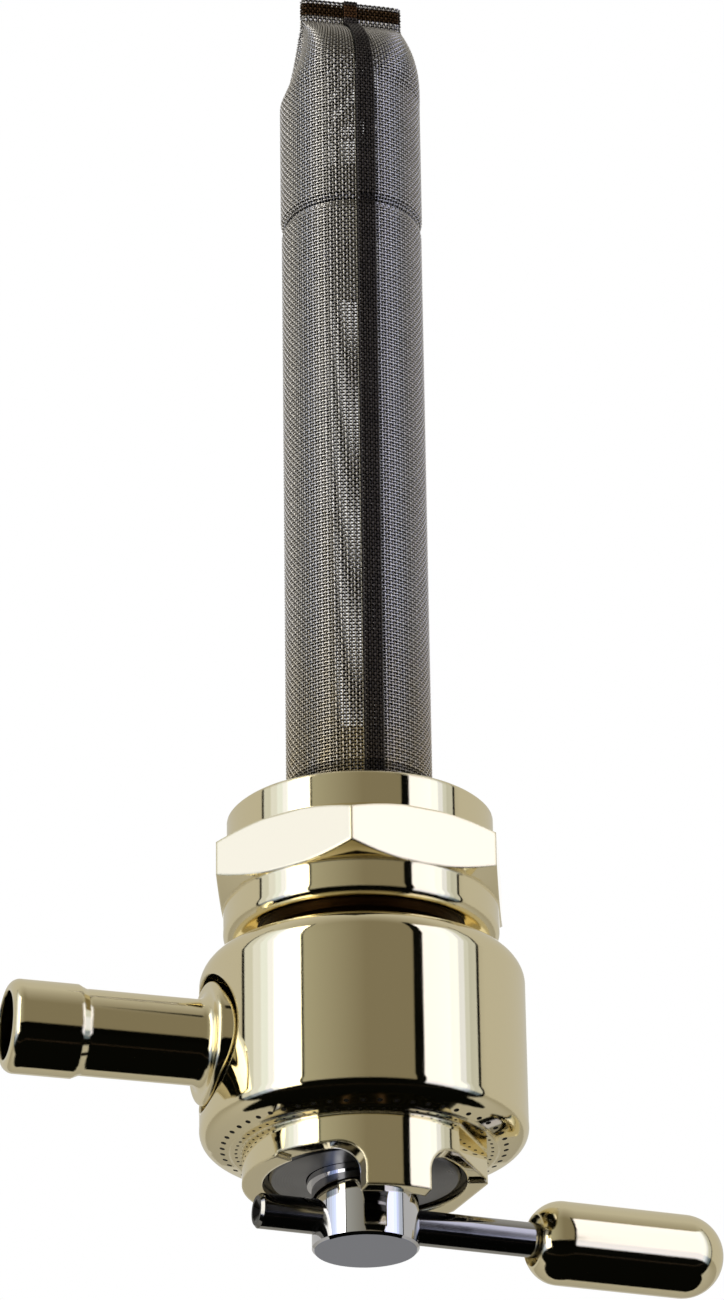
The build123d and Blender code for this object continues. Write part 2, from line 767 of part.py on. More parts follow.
# Capsule knob on the rod's long end
with BuildPart() as lever_knob:
    knob_radius = knob_diameter / 2
    mouth_radius = knob_countersink_diameter / 2
    mouth_rise = mouth_radius - (knob_radius - knob_near_round)
    mouth_start = knob_start + knob_near_round - math.sqrt(knob_near_round**2 - mouth_rise**2)
    socket_radius = rod_radius + press_clearance
    with BuildSketch(rod_plane):
        with BuildLine():
            Polyline(
                (rod_end + slip_clearance, 0),
                (rod_end + slip_clearance, socket_radius),
                (mouth_start + knob_countersink_depth, socket_radius),
                (mouth_start + knob_countersink_depth, mouth_radius - edge_break),
                (mouth_start, mouth_radius),
            )
            RadiusArc(
                (mouth_start, mouth_radius),
                (knob_start + knob_near_round, knob_radius),
                knob_near_round,
            )
            Line(
                (knob_start + knob_near_round, knob_radius),
                (knob_end - knob_radius, knob_radius),
            )
            RadiusArc((knob_end - knob_radius, knob_radius), (knob_end, 0), knob_radius)
            Line((knob_end, 0), (rod_end + slip_clearance, 0))
        make_face()
    revolve(axis=rod_axis)
save(lever_knob.part, "lever_knob")
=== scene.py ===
# %% [markdown]
# This lesson dresses a brass motorcycle fuel tap. The tap hangs from a fuel tank by its union
# nut, a woven filter screen stands up inside the tank, and a cross rod with a capsule knob turns
# the rotary valve below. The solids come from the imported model, in metres, and stay where they
# are. The script gives each one the surface that the real piece has, and makes in finer mesh
# what the solids only stand for: the wire cloth, the punched dots and the thread in the nut.

# %% Frame
import math

import bpy
from mathutils import Matrix, Vector


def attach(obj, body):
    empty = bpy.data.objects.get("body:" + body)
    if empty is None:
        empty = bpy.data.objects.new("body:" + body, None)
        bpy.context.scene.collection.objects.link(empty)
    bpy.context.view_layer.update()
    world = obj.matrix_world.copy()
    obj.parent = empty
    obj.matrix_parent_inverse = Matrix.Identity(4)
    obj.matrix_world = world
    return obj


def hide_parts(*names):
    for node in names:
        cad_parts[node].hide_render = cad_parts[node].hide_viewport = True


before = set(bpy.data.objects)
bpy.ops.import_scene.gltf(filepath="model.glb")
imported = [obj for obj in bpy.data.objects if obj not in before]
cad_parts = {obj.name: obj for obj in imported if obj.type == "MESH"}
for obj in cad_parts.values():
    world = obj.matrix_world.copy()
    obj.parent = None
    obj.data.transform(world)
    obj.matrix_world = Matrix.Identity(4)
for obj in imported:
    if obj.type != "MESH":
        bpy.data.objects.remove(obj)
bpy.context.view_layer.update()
scene = bpy.context.scene
scene.view_settings.view_transform = "Standard"
MM = 0.001
print("pieces in the frame:", len(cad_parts))

# %% [markdown]
# Colours are written as the hex values that a picture editor shows, and rendering works in linear
# light, so one function turns the first into the second. A node could be added, set and linked in
# lines of its own, but a material would then run over pages. One small function does all three,
# and each material reads as a short list of what its surface has.

# %% Colours and nodes
# a Mix node has inputs of the same name for numbers and for colours, told apart by their place
FACTOR, NUMBER_A, NUMBER_B, COLOUR_A, COLOUR_B = 0, 2, 3, 6, 7
NUMBER_OUT, COLOUR_OUT = 0, 2


def linear(hex_colour):
    """Linear red, green, blue and alpha for an sRGB hex colour."""
    channels = [int(hex_colour[i : i + 2], 16) / 255 for i in (1, 3, 5)]
    return [c / 12.92 if c <= 0.04045 else ((c + 0.055) / 1.055) ** 2.4 for c in channels] + [1.0]


def add_node(tree, kind, settings=None, inputs=None):
    """Add one node; an input given as a socket is linked, and any other value is set."""
    node = tree.nodes.new(kind)
    for name, value in (settings or {}).items():
        setattr(node, name, value)
    for name, value in (inputs or {}).items():
        if isinstance(value, bpy.types.NodeSocket):
            tree.links.new(value, node.inputs[name])
        else:
            node.inputs[name].default_value = value
    return node


print("middle grey in linear light:", round(linear("#808080")[0], 3))

# %% [markdown]
# The photograph looks up at the tap from below and a little to the left, with a long lens. A
# camera could just be aimed at the tap, but the tap would then sit in the picture's middle. This
# one is rebuilt from the view: how far away it is, how far below, how much it leans, and on which
# pixel the origin lands.

# %% Camera
CAMERA_TURN = -16.5
CAMERA_RISE = -25.1
CAMERA_LEAN = -0.83
CAMERA_LENS = 152.3
SENSOR_WIDTH = 36.0
CAMERA_DISTANCE = 596 * MM
TARGET = Vector((0.0, 0.0, 0.0))
TARGET_PIXEL = (359.8, 823.0)
PICTURE = (724, 1300)

turn, rise = math.radians(CAMERA_TURN), math.radians(CAMERA_RISE)
back = Vector((math.sin(turn) * math.cos(rise), -math.cos(turn) * math.cos(rise), math.sin(rise)))
camera = bpy.data.objects.new("camera", bpy.data.cameras.new("camera"))
scene.collection.objects.link(camera)
scene.camera = camera
camera.data.lens = CAMERA_LENS
camera.data.sensor_width = SENSOR_WIDTH
camera.data.sensor_fit = "AUTO"
camera.data.clip_start = 0.01
camera.data.clip_end = 20.0
focal = CAMERA_LENS / SENSOR_WIDTH * max(PICTURE)
off_x = (TARGET_PIXEL[0] - PICTURE[0] / 2) / focal
off_y = (PICTURE[1] / 2 - TARGET_PIXEL[1]) / focal
look = (-back).to_track_quat("-Z", "Y").to_matrix()
turned = look @ Matrix.Rotation(math.radians(CAMERA_LEAN), 3, "Z")
camera.rotation_mode = "QUATERNION"
camera.rotation_quaternion = turned.to_quaternion()
camera.location = TARGET - turned @ Vector((off_x, off_y, -1.0)) * CAMERA_DISTANCE
print("camera at", tuple(round(v, 4) for v in camera.location))

# %% [markdown]
# Polished brass is a mirror, so what the eye reads as its colour is mostly the room. The room
# could be built wall by wall, but soft reflections need no more than the colour of each
# direction. It is a small studio: a dim wall on the camera's side, lighter to the left, and paler
# walls behind.

# %% Studio walls
WALL_LEFT = "#B2B1A4"
WALL_FRONT = "#868070"
WALL_REAR = "#C6C4BE"
# the cosines of the bearings between which one wall fades into the next
FRONT_TO_REAR = (0.6, -0.1)
LEFT_TO_FRONT = (-0.68, 0.05)

world = bpy.data.worlds.new("studio")
scene.world = world
world.use_nodes = True
tree = world.node_tree
tree.nodes.clear()
direction = add_node(tree, "ShaderNodeTexCoord")
ways = ((math.sin(turn), -math.cos(turn), 0.0), (math.cos(turn), math.sin(turn), 0.0), tuple(-back))
frontward, rightward, ahead = [
    add_node(
        tree, "ShaderNodeVectorMath", {"operation": "DOT_PRODUCT"},
        {0: direction.outputs["Generated"], 1: way},
    ).outputs["Value"]
    for way in ways
]
rear_share, front_share = [
    add_node(
        tree, "ShaderNodeMapRange", inputs={"Value": cosine, "From Min": start, "From Max": end}
    ).outputs["Result"]
    for cosine, (start, end) in ((frontward, FRONT_TO_REAR), (rightward, LEFT_TO_FRONT))
]
front_wall = add_node(
    tree, "ShaderNodeMix", {"data_type": "RGBA"},
    {FACTOR: front_share, COLOUR_A: linear(WALL_LEFT), COLOUR_B: linear(WALL_FRONT)},
)
walls = add_node(
    tree, "ShaderNodeMix", {"data_type": "RGBA"},
    {FACTOR: rear_share, COLOUR_A: front_wall.outputs[COLOUR_OUT], COLOUR_B: linear(WALL_REAR)},
)
print("wall colours:", WALL_LEFT, WALL_FRONT, WALL_REAR)

# %% [markdown]
# Straight behind the tap hangs a white backdrop, which the camera sees and the metal mirrors. As
# a bright sheet it would also light the tap from behind, so it is a colour that only two kinds of
# ray meet: those from the camera, and those that a mirror or glass sends towards it.

# %% Backdrop
BACKDROP_SPREAD = 10.0
WHITE = (1.0, 1.0, 1.0, 1.0)

on_backdrop = add_node(
    tree, "ShaderNodeMath", {"operation": "GREATER_THAN"},
    {0: ahead, 1: math.cos(math.radians(BACKDROP_SPREAD))},
)
path = add_node(tree, "ShaderNodeLightPath")
mirrored = add_node(
    tree, "ShaderNodeMath", {"operation": "MAXIMUM"},
    {0: path.outputs["Is Glossy Ray"], 1: path.outputs["Is Transmission Ray"]},
)
mirrored_backdrop = add_node(
    tree, "ShaderNodeMath", {"operation": "MULTIPLY"},
    {0: mirrored.outputs["Value"], 1: on_backdrop.outputs["Value"]},
)
white_share = add_node(
    tree, "ShaderNodeMath", {"operation": "MAXIMUM"},
    {0: path.outputs["Is Camera Ray"], 1: mirrored_backdrop.outputs["Value"]},
)
seen = add_node(
    tree, "ShaderNodeMix", {"data_type": "RGBA"},
    {FACTOR: white_share.outputs["Value"], COLOUR_A: walls.outputs[COLOUR_OUT], COLOUR_B: WHITE},
)
sky = add_node(
    tree, "ShaderNodeBackground", inputs={"Color": seen.outputs[COLOUR_OUT], "Strength": 1.0}
)
add_node(tree, "ShaderNodeOutputWorld", inputs={"Surface": sky.outputs["Background"]})
print("nodes in the world:", len(tree.nodes))

# %% [markdown]
# Studio gear stands round the tap, placed by its bearing, the angle from the camera's direction.
# It could stand in view, out of the picture, but hidden from the camera and without a shadow it
# does one job only, from every side: to be mirrored in the metal.

# %% Studio gear
CARD_BLACK = "#0B0C09"


def new_material(name, base, metallic, roughness):
    """A material with one Principled shader; its tree and its shader come back for more detail."""
    material = bpy.data.materials.new(name)
    material.use_nodes = True
    shader = material.node_tree.nodes["Principled BSDF"]
    shader.inputs["Base Color"].default_value = linear(base)
    shader.inputs["Metallic"].default_value = metallic
    shader.inputs["Roughness"].default_value = roughness
    return material, material.node_tree, shader


def bearing_point(bearing, distance, height):
    """A point at this bearing from the camera's direction, positive to the right."""
    angle = turn + math.radians(bearing)
    return Vector((math.sin(angle) * distance, -math.cos(angle) * distance, height))


def plate(name, corners, material):
    """A flat piece of studio gear through these corners."""
    mesh = bpy.data.meshes.new(name)
    mesh.from_pydata([tuple(c) for c in corners], [], [tuple(range(len(corners)))])
    mesh.materials.append(material)
    obj = bpy.data.objects.new(name, mesh)
    scene.collection.objects.link(obj)
    return obj


def seen_only_in_mirrors(obj):
    """Hide studio gear from the camera; the metal still mirrors it."""
    obj.visible_camera = False
    obj.visible_diffuse = False
    obj.visible_shadow = False


# black flocked card: it gives back almost none of the lamps' light
card_paper, _, shader = new_material("black card", CARD_BLACK, metallic=0.0, roughness=0.9)
shader.inputs["Specular IOR Level"].default_value = 0.0
print("gear is black card:", CARD_BLACK)

# %% [markdown]
# Two tall white lamps stand to the left and the right of the camera. Each one shows on every
# round brass surface as an upright white band that fades on its far side. One wide lamp would
# end there in a hard edge, so each is a row of strips, dimmer and cooler further out. The bands
# are outlined with narrow black cards, as photographers do, so that the white ends in a crisp
# dark line and the roundness reads.

# %% Lamps and cards
LAMP_INNER = 43.0
# each strip: the bearing where it ends, and its glow in red, green and blue
LAMP_STRIPS = {
    "left": (
        (59.0, (3.0, 2.96, 2.8)), (64.0, (1.15, 1.25, 1.65)), (69.0, (0.6, 0.69, 1.1)),
        (75.0, (0.44, 0.56, 0.83)), (82.0, (0.33, 0.4, 0.6)), (90.0, (0.17, 0.22, 0.32)),
    ),
    "right": (
        (64.0, (1.05, 1.1, 1.55)), (71.0, (0.85, 0.98, 1.4)), (76.0, (0.51, 0.6, 0.96)),
        (80.0, (0.27, 0.34, 0.48)), (87.0, (0.13, 0.18, 0.27)),
    ),
}
LAMP_DISTANCE = 1.0
LAMP_HEIGHT = 1.7
LAMP_CENTRE = 0.25
CARD_INNER_WIDTH = {"left": 2.0, "right": 7.0}
CARD_OUTER_WIDTH = 2.5
CARD_DISTANCE = 0.9
CARD_FOOT, CARD_TOP = -0.35, 1.2


def lamp(name, start, stop, glow):
    """A tall soft lamp between two bearings, facing the tap."""
    width = 2 * LAMP_DISTANCE * math.tan(math.radians(abs(stop - start) / 2))
    data = bpy.data.lights.new(name, "AREA")
    data.shape = "RECTANGLE"
    data.size = width
    data.size_y = LAMP_HEIGHT
    data.energy = max(glow) * math.pi * width * LAMP_HEIGHT
    data.color = [channel / max(glow) for channel in glow]
    obj = bpy.data.objects.new(name, data)
    scene.collection.objects.link(obj)
    obj.location = bearing_point((start + stop) / 2, LAMP_DISTANCE, LAMP_CENTRE)
    inward = Vector((-obj.location.x, -obj.location.y, 0))
    obj.rotation_mode = "QUATERNION"
    obj.rotation_quaternion = inward.to_track_quat("-Z", "Y")
    obj.visible_camera = False


def card(name, start, stop):
    """An upright black card between two bearings, just in front of the lamps' plane."""
    corners = [bearing_point(bearing, CARD_DISTANCE, CARD_FOOT) for bearing in (start, stop)]
    corners += [bearing_point(bearing, CARD_DISTANCE, CARD_TOP) for bearing in (stop, start)]
    seen_only_in_mirrors(plate(name, corners, card_paper))


for side_name, sign in (("left", -1), ("right", 1)):
    edge = LAMP_INNER
    for outer, glow in LAMP_STRIPS[side_name]:
        lamp(f"{side_name} lamp to {outer:.0f}", sign * edge, sign * outer, glow)
        edge = outer
    inner = LAMP_INNER - CARD_INNER_WIDTH[side_name]
    card(f"{side_name} inner card", sign * inner, sign * LAMP_INNER)
    card(f"{side_name} outer card", sign * edge, sign * (edge + CARD_OUTER_WIDTH))
print("lamp strips:", sum(len(strips) for strips in LAMP_STRIPS.values()))

# %% [markdown]
# A pale paper floor lies well below the tap, and on it, from under the tap towards the camera, a
# black cloth: it draws the dark lines along the rounded lower edges. A narrow strip of brown tape
# across it shows as one thin warm line. Such lines could be painted on the brass, but paint stays
# where it is when the view turns, and a reflection moves. The camera sees the metal alone.

# %% Floor
FLOOR_DROP = 0.42
FLOOR_SIDE = 3.0
CLOTH_REAR = 0.02
CLOTH_FRONT = 2.7
CLOTH_DISC = 0.40
CLOTH_LIFT = 0.01
DISC_STEPS = 24
TAPE = (0.286, 0.296)

floor_paint = new_material("floor paper", "#E4E2DC", metallic=0.0, roughness=0.9)[0]
square = ((-1, -1), (1, -1), (1, 1), (-1, 1))
corners = [Vector((x * FLOOR_SIDE, y * FLOOR_SIDE, -FLOOR_DROP)) for x, y in square]
plate("floor", corners, floor_paint).visible_camera = False


def floor_strip(name, near, far, material):
    """A strip lying across the whole floor, between two distances in front of the tap."""
    level = CLOTH_LIFT - FLOOR_DROP
    forward = bearing_point(0, 1, 0)
    right = bearing_point(90, 1, 0)
    ends = ((near, -1), (near, 1), (far, 1), (far, -1))
    corners = [forward * d + right * (s * FLOOR_SIDE) + Vector((0, 0, level)) for d, s in ends]
    seen_only_in_mirrors(plate(name, corners, material))


brown_tape = new_material("brown tape", "#3E2A1C", metallic=0.0, roughness=0.7)[0]
floor_strip("cloth under the tap", -CLOTH_REAR, TAPE[0], card_paper)
floor_strip("tape on the cloth", *TAPE, brown_tape)
floor_strip("cloth in front", TAPE[1], CLOTH_FRONT, card_paper)
disc_level = CLOTH_LIFT / 2 - FLOOR_DROP
bearings = [90 + 180 * k / DISC_STEPS for k in range(DISC_STEPS + 1)]
round_cloth = [bearing_point(bearing, CLOTH_DISC, disc_level) for bearing in bearings]
seen_only_in_mirrors(plate("round cloth behind", round_cloth, card_paper))

# %% [markdown]
# The cast brass was polished on a wheel and lacquered: a near mirror, pale gold. A plain metal
# colour would give the gold, but its reflections would look drawn. So a very slight waviness
# bends them, and a low, wide noise lets the polish vary in sharpness from place to place. Edges
# are rounded in the shading alone, because a round on every edge would cost many faces.

# %% Polished brass
BRASS = "#EFE3BD"
POLISH_WAVE = 6.0
POLISH_PATCH = 14.0
POLISH_ROUGHNESS = (0.02, 0.07)
WAVE_BUMP = {"strength": 0.25, "distance_mm": 0.02}
EDGE_ROUND = 0.45 * MM
EDGE_SAMPLES = 6


def object_noise(tree, size_mm, detail=2.0):
    """Noise over the piece's own coordinates, with features about size_mm across."""
    place = add_node(tree, "ShaderNodeTexCoord")
    return add_node(
        tree, "ShaderNodeTexNoise",
        inputs={"Vector": place.outputs["Object"], "Scale": 1 / (size_mm * MM), "Detail": detail},
    )


def vary_roughness(tree, shader, size_mm, low, high):
    """Let the sharpness of the reflections drift between two values."""
    patches = object_noise(tree, size_mm)
    spread = add_node(
        tree, "ShaderNodeMapRange",
        inputs={"Value": patches.outputs[0], "To Min": low, "To Max": high},
    )
    tree.links.new(spread.outputs["Result"], shader.inputs["Roughness"])


def add_bump(tree, shader, height, strength, distance_mm):
    """Raise the surface a little by a height pattern."""
    bump = add_node(
        tree, "ShaderNodeBump",
        inputs={"Height": height, "Strength": strength, "Distance": distance_mm * MM},
    )
    tree.links.new(bump.outputs["Normal"], shader.inputs["Normal"])


def round_edges(tree, shader):
    """Let the light see every sharp edge as slightly rounded, below whatever bump there is."""
    rounded = add_node(tree, "ShaderNodeBevel", {"samples": EDGE_SAMPLES}, {"Radius": EDGE_ROUND})
    link = shader.inputs["Normal"].links
    target = link[0].from_node.inputs["Normal"] if link else shader.inputs["Normal"]
    tree.links.new(rounded.outputs["Normal"], target)


# polished cast brass: mirror reflections in pale gold, faintly wavy, with softened edges
polished_brass, tree, shader = new_material("polished brass", BRASS, metallic=1.0, roughness=0.05)
vary_roughness(tree, shader, POLISH_PATCH, *POLISH_ROUGHNESS)
add_bump(tree, shader, object_noise(tree, POLISH_WAVE).outputs[0], **WAVE_BUMP)
round_edges(tree, shader)
print("polished brass nodes:", len(tree.nodes))

# %% [markdown]
# The body and the nut are the same brass. Under the nut their threads lie in shade, and that
# shade is painted on them as a dark brown. It could be painted on by hand. One material finds it
# by rule instead: whatever lies close to the tap's axis and above the body's shoulder is thread,
# and its ridges come from the height.

# %% Brass with stained threads
THREAD_RADIUS = 11.2 * MM
THREAD_END = -16.5 * MM
THREAD_PITCH = 1.0 * MM
THREAD_SHADE_EDGE = 0.05 * MM
THREAD_SHADE_BROWN = "#2C1E10"
THREAD_ROUGHNESS = 0.5
# how much higher the thread's ridges stand than the waves of the polish
RIDGE_SHARE = 6.0


def object_axes(tree):
    """The piece's own coordinates, and the distance from the tap's axis."""
    place = add_node(tree, "ShaderNodeTexCoord")
    axes = add_node(tree, "ShaderNodeSeparateXYZ", inputs={"Vector": place.outputs["Object"]})
    flat = add_node(
        tree, "ShaderNodeVectorMath", {"operation": "MULTIPLY"},
        {0: place.outputs["Object"], 1: (1.0, 1.0, 0.0)},
    )
    radius = add_node(
        tree, "ShaderNodeVectorMath", {"operation": "LENGTH"}, {0: flat.outputs["Vector"]}
    )
    return axes.outputs["X"], axes.outputs["Y"], axes.outputs["Z"], radius.outputs["Value"]


# polished brass, but with painted shade wherever there is thread: dark brown, rough and ridged
# there
threaded_brass, tree, shader = new_material(
    "polished brass, stained threads", BRASS, metallic=1.0, roughness=0.05
)
height, radius = object_axes(tree)[2:]
inside, above = [
    add_node(
        tree, "ShaderNodeMapRange", inputs={"Value": value, "From Min": start, "From Max": end}
    ).outputs["Result"]
    for value, start, end in (
        (radius, THREAD_RADIUS, THREAD_RADIUS - THREAD_SHADE_EDGE),
        (height, THREAD_END, THREAD_END + THREAD_SHADE_EDGE),
    )
]
shadow_mask = add_node(tree, "ShaderNodeMath", {"operation": "MULTIPLY"}, {0: inside, 1: above})
shadowed = shadow_mask.outputs["Value"]
# painted shade: the threads under the nut turn dark brown
colour = add_node(
    tree, "ShaderNodeMix", {"data_type": "RGBA"},
    {FACTOR: shadowed, COLOUR_A: linear(BRASS), COLOUR_B: linear(THREAD_SHADE_BROWN)},
)
tree.links.new(colour.outputs[COLOUR_OUT], shader.inputs["Base Color"])
polish = add_node(
    tree, "ShaderNodeMapRange",
    inputs={
        "Value": object_noise(tree, POLISH_PATCH).outputs[0],
        "To Min": POLISH_ROUGHNESS[0], "To Max": POLISH_ROUGHNESS[1],
    },
)
gloss = add_node(
    tree, "ShaderNodeMix",
    inputs={FACTOR: shadowed, NUMBER_A: polish.outputs["Result"], NUMBER_B: THREAD_ROUGHNESS},
)
tree.links.new(gloss.outputs[NUMBER_OUT], shader.inputs["Roughness"])
phase = add_node(
    tree, "ShaderNodeMath", {"operation": "MULTIPLY"}, {0: height, 1: 2 * math.pi / THREAD_PITCH}
)
ridge = add_node(tree, "ShaderNodeMath", {"operation": "SINE"}, {0: phase.outputs["Value"]})
ridges = add_node(
    tree, "ShaderNodeMath", {"operation": "MULTIPLY"}, {0: ridge.outputs["Value"], 1: shadowed}
)
wave = object_noise(tree, POLISH_WAVE)
surface = add_node(
    tree, "ShaderNodeMath", {"operation": "MULTIPLY_ADD"},
    {0: ridges.outputs["Value"], 1: RIDGE_SHARE, 2: wave.outputs[0]},
)
add_bump(tree, shader, surface.outputs["Value"], **WAVE_BUMP)
round_edges(tree, shader)
print("threads stained within", THREAD_RADIUS / MM, "mm")

# %% [markdown]
# The other metals differ most in how they were worked: chrome plate and a polished rod are
# mirrors, turned metal blurs what it reflects, and spring steel keeps a dark or satin skin. One
# grey would serve a sketch, but the eye tells them apart by how sharply they mirror the lamps, so
# each has a roughness of its own that drifts between two values.

# %% Turned brass and steels
CHROME = "#DADADF"
CHROME_FACED = "#9DA2B5"
HUB_FACE = -48.7 * MM
FACE_EDGE = 0.02 * MM
ROD_STEEL = "#A8A6A2"
ROD_END_BLACK = "#1A1714"
# the sideways part of the rod's own normal between which its free end turns dark
ROD_END = (-0.6, -0.8)
RING_PITCH = 0.3


def turning_marks(tree, feed_mm):
    """Fine rings about the tap's axis, one for each turn of the lathe tool."""
    phase = add_node(
        tree, "ShaderNodeMath", {"operation": "MULTIPLY"},
        {0: object_axes(tree)[3], 1: 2 * math.pi / (feed_mm * MM)},
    )
    return add_node(tree, "ShaderNodeMath", {"operation": "SINE"}, {0: phase.outputs["Value"]})


# turned brass, not polished: the same gold, blurred by the lathe's fine rings
turned_brass, tree, shader = new_material("turned brass", "#DCC58C", metallic=1.0, roughness=0.28)
vary_roughness(tree, shader, size_mm=3.0, low=0.2, high=0.36)

# bright chrome plate: a cool, nearly perfect mirror, duller where the hub was faced off
chrome, tree, shader = new_material("bright chrome plate", CHROME, metallic=1.0, roughness=0.03)
vary_roughness(tree, shader, size_mm=9.0, low=0.015, high=0.05)
faced = add_node(
    tree, "ShaderNodeMapRange",
    inputs={"Value": object_axes(tree)[2], "From Min": HUB_FACE + FACE_EDGE, "From Max": HUB_FACE},
)
plate_colour = add_node(
    tree, "ShaderNodeMix", {"data_type": "RGBA"},
    {FACTOR: faced.outputs["Result"], COLOUR_A: linear(CHROME), COLOUR_B: linear(CHROME_FACED)},
)
tree.links.new(plate_colour.outputs[COLOUR_OUT], shader.inputs["Base Color"])

# polished steel rod: a mirror slightly blurred along its length, its free end face painted near
# black
steel_rod, tree, shader = new_material("polished steel rod", ROD_STEEL, metallic=1.0, roughness=0.1)
vary_roughness(tree, shader, size_mm=2.5, low=0.08, high=0.16)
way = add_node(tree, "ShaderNodeTexCoord")
sideways = add_node(tree, "ShaderNodeSeparateXYZ", inputs={"Vector": way.outputs["Normal"]})
at_end = add_node(
    tree, "ShaderNodeMapRange",
    inputs={"Value": sideways.outputs["X"], "From Min": ROD_END[0], "From Max": ROD_END[1]},
)
rod_colour = add_node(
    tree, "ShaderNodeMix", {"data_type": "RGBA"},
    {FACTOR: at_end.outputs["Result"], COLOUR_A: linear(ROD_STEEL), COLOUR_B: linear(ROD_END_BLACK)},
)
tree.links.new(rod_colour.outputs[COLOUR_OUT], shader.inputs["Base Color"])

# bright steel ring inside the strainer: polished by its press tool
bright_steel, tree, shader = new_material(
    "bright pressed steel", "#D6D5D2", metallic=1.0, roughness=0.08
)
vary_roughness(tree, shader, size_mm=3.0, low=0.05, high=0.12)

# turned steel plate: grey, with rings too fine to count; drawn 0.3 mm apart so that they show
turned_steel, tree, shader = new_material("turned steel", "#77777B", metallic=1.0, roughness=0.32)
rings = turning_marks(tree, RING_PITCH).outputs["Value"]
add_bump(tree, shader, rings, strength=0.35, distance_mm=0.01)
vary_roughness(tree, shader, size_mm=2.0, low=0.24, high=0.38)

# blackened spring steel: a dark, slightly oily oxide skin
black_steel, tree, shader = new_material(
    "blackened spring steel", "#1B1512", metallic=0.5, roughness=0.4
)
vary_roughness(tree, shader, size_mm=1.5, low=0.3, high=0.55)

# bright spring steel: hardened strip, satin
spring_steel, tree, shader = new_material(
    "spring steel strip", "#8F8F92", metallic=1.0, roughness=0.3
)
vary_roughness(tree, shader, size_mm=2.0, low=0.22, high=0.4)
print("finishes so far:", len(bpy.data.materials))

# %% [markdown]
# The seals, the gasket and the washer show only when the tap is taken apart. A flat colour would
# do, but rubber, fibre and nylon each have a grain of their own, and a fine bump gives it.

# %% Rubber, fibre and nylon
FIBRE_REDS = ("#55221A", "#8A3F2E")

# moulded nitrile rubber: black, satin, with a faint mould texture
rubber, tree, shader = new_material("nitrile rubber", "#141414", metallic=0.0, roughness=0.5)
mould = object_noise(tree, size_mm=0.15)
add_bump(tree, shader, mould.outputs[0], strength=0.3, distance_mm=0.01)

# pressed red fibre: matt, mottled by its paper pulp
fibre, tree, shader = new_material("red fibre", "#6E2E22", metallic=0.0, roughness=0.75)
pulp = object_noise(tree, size_mm=0.5, detail=4.0)
reds = add_node(
    tree, "ShaderNodeMix", {"data_type": "RGBA"},
    {FACTOR: pulp.outputs[0], COLOUR_A: linear(FIBRE_REDS[0]), COLOUR_B: linear(FIBRE_REDS[1])},
)
tree.links.new(reds.outputs[COLOUR_OUT], shader.inputs["Base Color"])
add_bump(tree, shader, pulp.outputs[0], strength=0.4, distance_mm=0.03)

# machined white nylon: smooth, slightly waxy
nylon, tree, shader = new_material("white nylon", "#E6E4DC", metallic=0.0, roughness=0.42)
rings = turning_marks(tree, RING_PITCH).outputs["Value"]
add_bump(tree, shader, rings, strength=0.2, distance_mm=0.005)
print("finishes so far:", len(bpy.data.materials))

# %% [markdown]
# The strainer's cloth looks an even grey from afar, but each of its steel wires is bright only
# where it faces outwards. The flanks, and the dips under a neighbour, lie in shade, and that shade
# is painted into the wires' colour. A picture of cloth could be wrapped round the tube, but it
# would stay flat at the rim. Here the wires are real mesh, and the weaving stores on them how far
# they face outwards and how deep they dip, so the colour only has to read that.

# %% Wire cloth finish
# the two ends of the mottling, for plain wire, and for wire browned by heat where it was welded
CLOTH_GREY = ("#D4CFC8", "#F8F3EC")
HEAT_BROWN = ("#33261A", "#6B5238")
SEAM_GREY = ("#353232", "#6E6660")
SEAM_BROWN = ("#3A2415", "#7B5530")
HEAT_START = 101.1 * MM
HEAT_FULL = 101.4 * MM
HEAT_END = 102.9 * MM
# below this height, just above the nut, the wire is painted darker as shade, down to this share
SHADED_FOOT_TOP = 4.1 * MM
FOOT_SHADE_DEPTH = 0.45
VARNISH = "#D8C48C"
VARNISH_TOP = 24.0 * MM
BAND_EDGE = 0.1 * MM
# from where on a wire faces outwards enough to have no painted shade, and how dark that shade is
SHADE_START = -0.1
SHADE_END = 0.55
SHADE_DEPTH = 0.05


